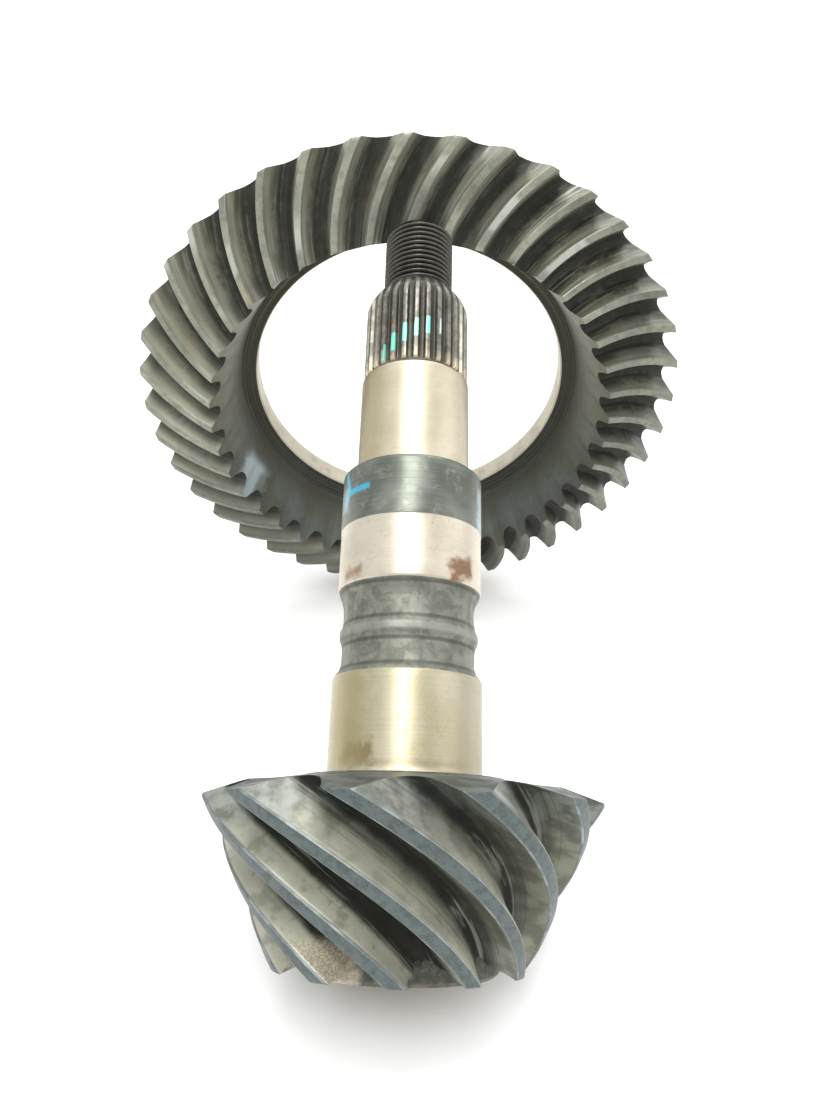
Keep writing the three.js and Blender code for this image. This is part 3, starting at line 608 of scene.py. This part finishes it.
def pinion_head():
    g = PG
    pitch, k = TAU / g["teeth"], g["lead"] * DEG
    run, drop = g["heelZ"] - g["toeZ"], g["heelR"] - g["toeR"]
    h = math.hypot(run, drop)
    dl = h / run
    nH, nT = (0.946, -0.324), (run / h, -drop / h)
    ts = [0.0, 0.008, 0.02] + list(np.linspace(0.05, 0.95, 46)) + [0.98, 0.992, 1.0]
    loops, dep, sta, side, tid, edge = [], [], [], [], [], []
    rng = np.random.default_rng(11)
    rnd = rng.random(g["teeth"])
    a0 = a1 = None
    for t in ts:
        rt, zt = lerp(g["toeR"], g["heelR"], t), lerp(g["toeZ"], g["heelZ"], t)
        depth, slot, top = lerp(g["toeD"], g["heelD"], t), lerp(g["toeSlot"], g["heelSlot"], t), lerp(g["toeTop"], g["heelTop"], t)
        nn = (lerp(nT[0], nH[0], t), lerp(nT[1], nH[1], t))
        cosAt = lambda r: 1 / math.hypot(1, r * k / dl)
        rr = rt - depth * nn[0]
        basew = (TAU * rr / g["teeth"]) * cosAt(rr) - slot
        pull = 0.0
        if t <= 0.0 or t >= 1.0:
            pull = 0.55
        elif t in (ts[1], ts[-2]):
            pull = 0.15
        rho = 0.45

        def half(share):
            out = []
            for u in (0.0, 0.5, 1.0):
                out.append(((top / 2 - rho) * u / cosAt(rt) / rt, pull, 0.0, 0.0, 0.2 * u))
            for th in (30, 60, 82):
                out.append(((top / 2 - rho + rho * math.sin(th * DEG)) / cosAt(rt) / rt, max(pull, rho * (1 - math.cos(th * DEG))), 0.015, 0.5, 1.0))
            for f in (0.07, 0.13, 0.2, 0.28, 0.37, 0.46, 0.55, 0.64, 0.73, 0.81, 0.88):
                r = rt - f * depth * nn[0]
                w = top / 2 + (basew - top) * share * f - 0.38 * math.sin(math.pi * f)
                out.append((w / cosAt(r) / r, max(pull * 1.2, f * depth), f, 1.0, 0.35 if f < 0.1 else 0.0))
            return out
        right, left = half(0.60), half(0.40)
        # root, from the right flank of this tooth to the left flank of the next
        ra, la = right[-1][0], pitch - left[-1][0]
        root = []
        for s in (0.12, 0.3, 0.5, 0.7, 0.88):
            root.append((lerp(ra, la, s), depth * (0.88 + 0.12 * math.sin(math.pi * s)), 0.88 + 0.12 * math.sin(math.pi * s), lerp(0.6, -0.6, s), 0.0))
        full = [(-a, d, dd, -sd, e) for a, d, dd, sd, e in left[::-1][:-1]] + right + root
        A, row = [], []
        at = -k * (zt - g["toeZ"]) + g["phase"] * DEG
        for q in range(g["teeth"]):
            for (da, d, dd, sd, e) in full:
                a = q * pitch + at + da
                r, z = rt - d * nn[0], zt - d * nn[1]
                row.append((r * math.cos(a), r * math.sin(a), z))
                A.append(a); dep.append(dd); sta.append(t); side.append(sd); tid.append(rnd[q]); edge.append(e if 0 < t < 1 else 0.7)
        loops.append(row)
        if t == 0.0:
            a0 = np.array(A)
        a1 = np.array(A)
    M, nT_ = len(loops[0]), len(loops)

    def turned_loops(line, ang):
        out = []
        for r, z in line:
            out.append(np.stack([r * np.cos(ang), r * np.sin(ang), np.full(M, z)], 1).tolist())
        return out
    heel = subdivide([np.array(p) for p in [(36.0, -1.7), (27.2, -0.3), (26.9, -0.25), (26.6, 0.0), (21.9, 0.0), (19.0, 0.0), (8.0, 0.0)]], 3.0)
    toe = subdivide([np.array(p) for p in [(8.0, -38.2), (5.0, -38.6), (4.4, -45.0), (5.2, -45.9), (23.6, -45.9), (24.4, -45.3), (24.75, -44.9), (25.2, -39.8), (25.4, -38.6)]], 2.0)
    toe_loops, heel_loops = turned_loops(toe, a0), turned_loops(heel, a1)
    nt, nh = len(toe_loops), len(heel_loops)
    L = np.array(toe_loops + loops + heel_loops)
    ext = lambda arr, v: [v] * (M * nt) + arr + [v] * (M * nh)
    fm = [2] * (nt - 1) + [2] + [0] * (nT_ - 1) + [1] + [1] * (nh - 1)
    mats = [head_mat(), head_end_mat(), toe_mat()]
    return grid_mesh("pinion_head", L, PIN_F, dict(dep=ext(dep, 0.5), sta=ext(sta, 0.5), side=ext(side, 0.0), tid=ext(tid, 0.5), edge=ext(edge, 0.0)), fm, mats, closed=False, sharp=34)


def pinion_shaft():
    outline = [(0.4, -6.0), (19.0, -6.0), (21.6, -2.0), (21.6, 0.06), (21.0, 0.35), (20.65, 1.3), (20.65, 25.4), (19.9, 26.5), (19.2, 27.2),
               (18.5, 29.4), (18.4, 33.4), (18.7, 35.2), (19.35, 36.5), (19.35, 38.2), (18.7, 39.6), (18.4, 41.6), (18.4, 45.6),
               (18.9, 47.6), (19.7, 49.2), (19.9, 50.0), (20.33, 50.6), (20.33, 68.0), (20.5, 68.15), (20.5, 84.9), (19.7, 85.9),
               (17.4, 85.95), (16.65, 86.8), (16.65, 117.9), (16.1, 118.4), (15.6, 119.2), (14.6, 120.6), (14.4, 142.0), (13.2, 146.8),
               (11.4, 151.0), (10.0, 151.7), (9.6, 152.6), (9.6, 171.5), (4.9, 174.6), (4.6, 174.4), (3.7, 173.6), (0.4, 169.2)]
    line = subdivide(soften(outline, 0.35, 2), 2.2)
    S = 200
    ang = np.arange(S) / S * TAU
    rng = np.random.default_rng(3)
    ph = rng.random(6) * TAU
    loops = []
    for r, z in line:
        rr = np.full(S, r)
        if 27.6 < z < 49.0:                     # forged neck: slightly lumpy
            w = min(1.0, (z - 27.6) / 3, (49.0 - z) / 3)
            rr = rr + w * (0.09 * np.sin(3 * ang + ph[0] + z * 0.21) + 0.06 * np.sin(7 * ang + ph[1] - z * 0.33) + 0.04 * np.sin(13 * ang + ph[2] + z * 0.9))
        loops.append(np.stack([rr * np.cos(ang), rr * np.sin(ang), np.full(S, z)], 1))
    L = np.array(loops)
    fm = []
    for (r, z), (r2, z2) in zip(line[:-1], line[1:]):
        zm = (z + z2) / 2
        fm.append(0 if zm < 25.9 else 1 if zm < 50.3 else 2 if zm < 68.05 else 3 if zm < 86.3 else 4 if zm < 118.2 else 5 if zm < 150 else 6)
    blue, pale, mint = (0.070, 0.40, 0.56), (0.45, 0.60, 0.66), (0.40, 0.72, 0.58)
    mats = [
        journal_mat("seat_head_bearing", (0.47, 0.430, 0.325), (0.40, 0.358, 0.240), (0.33, 0.270, 0.145), 0.28, 0.30, 0.22, 0.0,
                    dabs=((-13.0, 4.6, 5.0, 2.4, 0, 20.65, (0.17, 0.115, 0.040), 0.75, 4.0, 4.0), (-17.5, 13.0, 6.5, 13.0, 0, 20.65, (0.30, 0.250, 0.125), 0.7, 7.0, 3.0), (6.0, 2.4, 14.0, 0.7, 0, 20.65, (0.24, 0.19, 0.10), 0.5, 2.0, 1.5), (21.0, 13.0, 8.0, 14.0, 0, 20.65, (0.30, 0.270, 0.195), 0.6, 8.0, 3.0))),
        forged_mat("neck_forged", (0.205, 0.208, 0.172), (0.125, 0.130, 0.104), (0.31, 0.32, 0.30), 0.40, 0.78, 0.45, 0.00018),
        journal_mat("seat_mid_band", (0.57, 0.520, 0.43), (0.50, 0.450, 0.36), (0.36, 0.29, 0.18), 0.28, 0.30, 0.2, 0.35,
                    dabs=((15.8, 54.0, 4.6, 2.6, 20, 20.4, (0.155, 0.062, 0.022), 0.85, 3.5, 4.0), (-18.0, 52.8, 4.0, 1.4, 0, 20.4, (0.22, 0.13, 0.050), 0.7, 2.5, 2.5))),
        journal_mat("collar_gunmetal", (0.185, 0.200, 0.172), (0.105, 0.116, 0.098), (0.30, 0.305, 0.275), 0.45, 0.30, 0.3, 0.12,
                    dabs=((-16.8, 77.4, 4.4, 0.95, 0, 20.5, blue, 0.95, 0.7, 0.5), (-22.4, 81.1, 4.0, 0.85, -67, 20.5, blue, 0.9, 0.7, 0.5), (-22.7, 76.0, 2.4, 0.85, 38, 20.5, blue, 0.9, 0.7, 0.5), (-25.0, 76.0, 3.2, 3.2, 0, 20.5, pale, 0.45, 3.0, 3.0), (26.5, 74.0, 2.6, 7.0, 0, 20.5, pale, 0.5, 3.0, 3.0))),
        journal_mat("seat_outer_bearing", (0.58, 0.525, 0.410), (0.51, 0.455, 0.330), (0.40, 0.33, 0.20), 0.26, 0.30, 0.16, 0.15,
                    dabs=((-14.5, 104.0, 5.0, 18.0, 0, 16.65, (0.36, 0.300, 0.170), 0.65, 6.0, 2.0),)),
        forged_mat("spline_core", (0.14, 0.13, 0.105), (0.08, 0.075, 0.06), (0.24, 0.23, 0.20), 0.34, 0.8, 0.35, 0.00012),
        forged_mat("thread_core", (0.055, 0.050, 0.042), (0.035, 0.033, 0.028), (0.11, 0.105, 0.095), 0.35, 0.8, 0.3, 0.0001),
    ]
    return grid_mesh("pinion_shaft", L, PIN_F, {}, fm, mats, closed=False, sharp=30, body="drive_pinion")


def pinion_spline():
    n, S = 28, 14
    da = TAU / n

    def sec(ro, rr, z, lo_taper=1.0):
        row = []
        for i in range(n):
            for f, w in ((-0.30, 0), (-0.255, 0.12), (-0.20, 0.8), (-0.165, 0.96), (-0.10, 1.0), (0, 1.0), (0.10, 1.0), (0.165, 0.96), (0.20, 0.8), (0.255, 0.12), (0.30, 0), (0.40, -0.04), (0.5, -0.06), (0.60, -0.04)):
                a = (i + f) * da
                r = rr + (ro - rr) * w
                row.append((r * math.cos(a), r * math.sin(a), z))
        return row
    rows, zs = [], []
    for ro, rr, z in ((14.7, 14.5, 118.6), (15.2, 14.9, 119.2), (15.7, 14.9, 119.5), (16.05, 14.9, 119.9), (16.15, 14.9, 120.4)):
        rows.append(sec(ro, rr, z))
    for z in np.linspace(122, 143, 12):
        rows.append(sec(16.15, 14.9, float(z)))
    for ro, rr, z in ((16.15, 14.9, 143.9), (16.0, 14.85, 144.5), (15.7, 14.75, 145.3), (15.3, 14.6, 146.4), (14.75, 14.4, 147.4), (13.7, 13.5, 149.0), (12.3, 12.25, 150.9), (11.9, 11.85, 151.1), (11.0, 10.95, 151.15)):
        rows.append(sec(ro, rr, z))
    L = np.array(rows)
    w = np.tile(np.array([0, .12, .8, .96, 1, 1, 1, .96, .8, .12, 0, 0, 0, 0], np.float32), n)
    dep = np.tile(1 - w, len(rows))
    nn = Net("spline_rolled")
    d, mid, fine = nn.attr("dep"), nn.noise(0.3, 6, 0.62, dist=0.6), nn.noise(2.3, 6, 0.7)
    x, y, z = nn.xyz()
    base = nn.mix(nn.step(mid, 0.38, 0.62), (0.225, 0.212, 0.180), (0.125, 0.124, 0.100))
    low = nn.step(nn.math("ADD", z, nn.math("MULTIPLY", mid, 8.0)), 129.5, 122.5)
    base = nn.mix(nn.math("MULTIPLY", low, 0.8), base, (0.50, 0.43, 0.30))
    # painted shade: the grooves between the splines go nearly black
    base = nn.mix(nn.math("MULTIPLY", nn.step(d, 0.45, 0.95), 0.85), base, (0.022, 0.020, 0.016))
    base = nn.mix(nn.math("MULTIPLY", nn.step(fine, 0.55, 0.7), 0.35), base, (0.10, 0.095, 0.08))
    mint, top = (0.24, 0.74, 0.58), nn.step(d, 0.75, 0.35)
    for (u0, z0, hu, hz, col) in ((-12.4, 121.9, 1.1, 1.8, (0.55, 0.66, 0.60)), (-9.4, 122.7, 1.25, 2.8, mint), (-6.6, 125.4, 1.3, 3.2, mint), (-3.1, 128.2, 1.25, 3.2, mint),
                                  (0.5, 129.9, 1.15, 3.1, mint), (4.0, 131.0, 1.1, 3.0, mint), (7.8, 131.4, 0.5, 2.8, (0.66, 0.80, 0.74))):
        base = nn.mix(nn.math("MULTIPLY", top, nn.math("MULTIPLY", nn.dab(u0, z0, hu, hz, -5, 16.1, 0.6, 0.5), 0.92)), base, col)
    base = nn.mix(nn.math("MULTIPLY", nn.dab(-8.1, 132.4, 0.55, 1.1, 0, 16.1, 0.5, 0.3), 0.75), base, (0.40, 0.06, 0.04))
    nn.done(base, nn.math("ADD", 0.30, nn.math("MULTIPLY", mid, 0.18)), 0.85, nn.bump(fine, 0.3, 0.00012))
    return grid_mesh("pinion_spline", L, PIN_F, dict(dep=dep), [0] * (len(rows) - 1), [nn.m], closed=False, sharp=40, body="drive_pinion")


def pinion_thread():
    p, z0, z1, crest, depth = 1.814, 151.8, 176.2, 11.1, 1.05
    S = 96
    prof = [(0.0, 1.0), (0.10, 0.97), (0.36, 0.16), (0.44, 0.02), (0.56, 0.0), (0.64, 0.12), (0.90, 0.97)]   # 1 crest, 0 root
    rows = []
    rows_n = int((z1 - z0) / p)
    ang = np.arange(S) / S * TAU
    fr = np.arange(S) / S
    zlist = []
    for j in range(rows_n + 1):
        for f, h in prof:
            zlist.append((j + f, h))
    zlist = [q for q in zlist if q[0] * p + z0 < z1 + 2 * p]

    def h_at(x):                                # thread form at a phase
        x = x % 1.0
        fs = [q[0] for q in prof] + [1.0]
        hs = [q[1] for q in prof] + [1.0]
        return np.interp(x, fs, hs)
    zs = np.arange(z0, z1 + 1e-6, p / 12)
    for z in zs:
        ph = (z - z0) / p - fr
        hh = h_at(ph)
        lead_in = min(1.0, max(0.0, (z - z0) / 1.2))
        r = crest - depth * (1 - hh) * min(1.0, lead_in)
        cap = 1e9
        if z > z1 - 3.4:                        # end chamfer
            cap = 11.9 - (z - (z1 - 3.4)) * (11.9 - 8.8) / 3.4
        r = np.minimum(r, cap)
        if z < z0 + 0.6:
            r = np.minimum(r, 10.3 + (z - z0) * 1.0)
        rows.append(np.stack([r * np.cos(ang), r * np.sin(ang), np.full(S, z)], 1))
    for r, z in ((8.6, z1), (4.7, z1), (4.35, z1 - 0.3), (3.6, z1 - 0.9), (2.0, z1 - 3.7), (0.4, z1 - 6.6)):
        rows.append(np.stack([r * np.cos(ang), r * np.sin(ang), np.full(S, z)], 1))
    first = [np.stack([r * np.cos(ang), r * np.sin(ang), np.full(S, z)], 1) for r, z in ((0.6, z0 - 0.5), (9.5, z0 - 0.5))]
    L = np.array(first + rows)
    nn = Net("thread_black")
    fine, mid = nn.noise(2.2, 5, 0.65), nn.noise(0.4, 5, 0.6)
    x, y, z = nn.xyz()
    r = nn.math("SQRT", nn.math("ADD", nn.math("MULTIPLY", x, x), nn.math("MULTIPLY", y, y)))
    # painted shade: the thread roots go nearly black, the crests stay lighter
    cr = nn.step(r, 10.2, 11.05)
    base = nn.mix(cr, (0.012, 0.011, 0.009), (0.088, 0.086, 0.074))
    base = nn.mix(nn.math("MULTIPLY", nn.step(mid, 0.5, 0.68), 0.5), base, (0.042, 0.034, 0.025))
    nn.done(base, nn.math("ADD", 0.30, nn.math("MULTIPLY", fine, 0.2)), 0.8, nn.bump(fine, 0.3, 0.0001))
    return grid_mesh("pinion_thread", L, PIN_F, {}, [0] * (len(L) - 1), [nn.m], closed=False, sharp=28, body="drive_pinion")


ring = ring_visual()
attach(ring, "ring_gear")
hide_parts("ring_gear")
head, shaft, spline, thread = pinion_head(), pinion_shaft(), pinion_spline(), pinion_thread()
for o in (head, shaft, spline, thread):
    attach(o, "drive_pinion")
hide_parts("drive_pinion")


# ------------------------------------------------------------------ floor, light, camera
def sweep():
    pts = [(-1.9, 0.0), (0.75, 0.0)]
    for k in range(1, 13):
        a = k / 12 * math.pi / 2
        pts.append((0.75 + 0.5 * math.sin(a), 0.5 * (1 - math.cos(a))))
    pts.append((1.25, 2.4))
    vs, fs = [], []
    for y, z in pts:
        vs += [(-2.4, y, z), (2.4, y, z)]
    for k in range(len(pts) - 1):
        fs.append((2 * k, 2 * k + 1, 2 * k + 3, 2 * k + 2))
    me = bpy.data.meshes.new("sweep")
    me.from_pydata(vs, [], fs)
    me.update()
    me.polygons.foreach_set("use_smooth", np.ones(len(me.polygons), bool))
    n = Net("pale_paper")
    # painted contact shadow: the floor colour turns warm grey where ambient occlusion finds the parts close by
    ao = n.node("ShaderNodeAmbientOcclusion", samples=8)
    ao.inputs["Distance"].default_value = 0.020
    n.put(n.b.inputs["Base Color"], n.mix(n.step(ao.outputs["AO"], 0.20, 0.88), (0.60, 0.55, 0.48), (0.93, 0.925, 0.915)))
    n.put(n.b.inputs["Roughness"], 0.75)
    n.put(n.b.inputs["Specular IOR Level"], 0.15)
    me.materials.append(n.m)
    o = bpy.data.objects.new("sweep", me)
    bpy.context.scene.collection.objects.link(o)


def area(name, loc, aim, sx, sy, watts, color=(1, 1, 1)):
    d = bpy.data.lights.new(name, "AREA")
    d.shape, d.size, d.size_y, d.energy, d.color = "RECTANGLE", sx, sy, watts, color
    o = bpy.data.objects.new(name, d)
    o.location = loc
    o.rotation_euler = (Vector(aim) - Vector(loc)).to_track_quat("-Z", "Y").to_euler()
    bpy.context.scene.collection.objects.link(o)


sweep()
area("top_soft", (-0.03, -0.35, 1.1), (0.0, -0.02, 0.1), 0.30, 1.0, 9.0, (1.0, 0.985, 0.96))
area("side_right", (1.15, -0.15, 0.6), (0.0, 0.0, 0.1), 1.0, 0.9, 2.0, (1.0, 0.99, 0.975))
area("back_top", (0.1, 0.80, 1.2), (0.0, 0.0, 0.1), 1.4, 0.5, 7.0)

world = bpy.data.worlds.new("pale")
bpy.context.scene.world = world
world.use_nodes = True
bg = world.node_tree.nodes["Background"]
bg.inputs[0].default_value = (0.97, 0.985, 1.0, 1)
bg.inputs[1].default_value = 1.18

cam_d = bpy.data.cameras.new("camera")
cam_d.sensor_width = 36.0
cam_d.sensor_fit = "AUTO"
cam_d.lens = 36.0 * 810 / 1107
cam_d.clip_start, cam_d.clip_end = 0.01, 20
cam = bpy.data.objects.new("camera", cam_d)
cam.location = (0.0021, -0.25590, 0.20237)
cam.rotation_euler = ((90 - 26.2) * DEG, 0, 0)
bpy.context.scene.collection.objects.link(cam)
bpy.context.scene.camera = cam
sc = bpy.context.scene
sc.view_settings.view_transform = "Standard"
sc.view_settings.look = "None"
sc.view_settings.exposure = 0.0
sc.view_settings.gamma = 1.0
